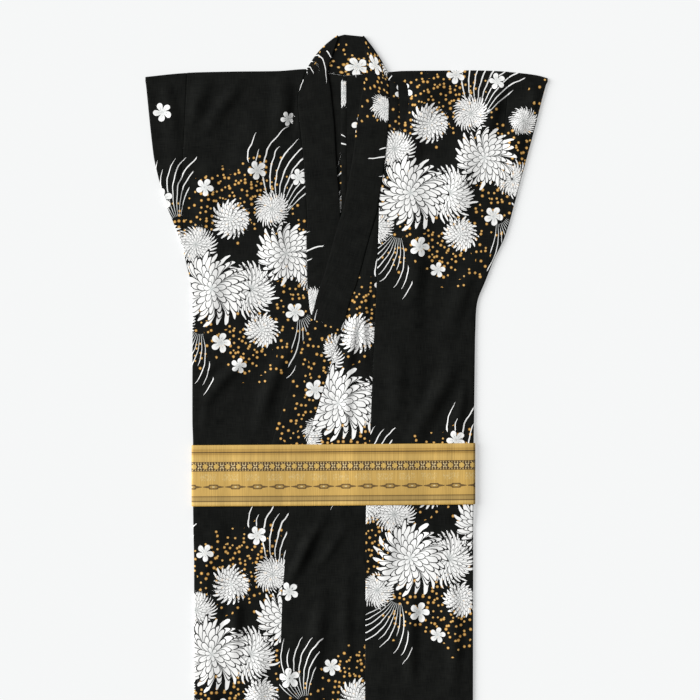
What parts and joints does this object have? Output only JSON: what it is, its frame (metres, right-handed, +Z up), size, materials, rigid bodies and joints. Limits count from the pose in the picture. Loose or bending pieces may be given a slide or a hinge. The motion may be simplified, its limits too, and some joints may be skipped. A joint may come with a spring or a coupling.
{
  "type": "yukata robe with woven obi belt",
  "caption": "Cotton yukata robe laid face up, left front over right, sides and sleeves turned under, with a stiff woven belt wrapped round it.",
  "frame": {"origin": "middle of the garment's bounding box, on the surface it lies on", "axes": "+X to the wearer's left, +Y from the hem towards the collar, +Z up from the surface, out of the front of the robe"},
  "size_m": [0.7054, 1.4681, 0.0135],
  "materials": {
    "printed_cotton": "plain woven cotton printed black, white and gold, nearly matt",
    "belt_weave": "stiff ribbed gold weave with brown stripes and small motifs, soft sheen"
  },
  "bodies": {
    "root": {"body_left": "printed_cotton", "body_right": "printed_cotton", "okumi_left": "printed_cotton", "okumi_right": "printed_cotton", "sleeve_left": "printed_cotton", "sleeve_right": "printed_cotton", "collar": "printed_cotton", "collar_cover": "printed_cotton", "belt": "belt_weave"}
  },
  "joints": []
}
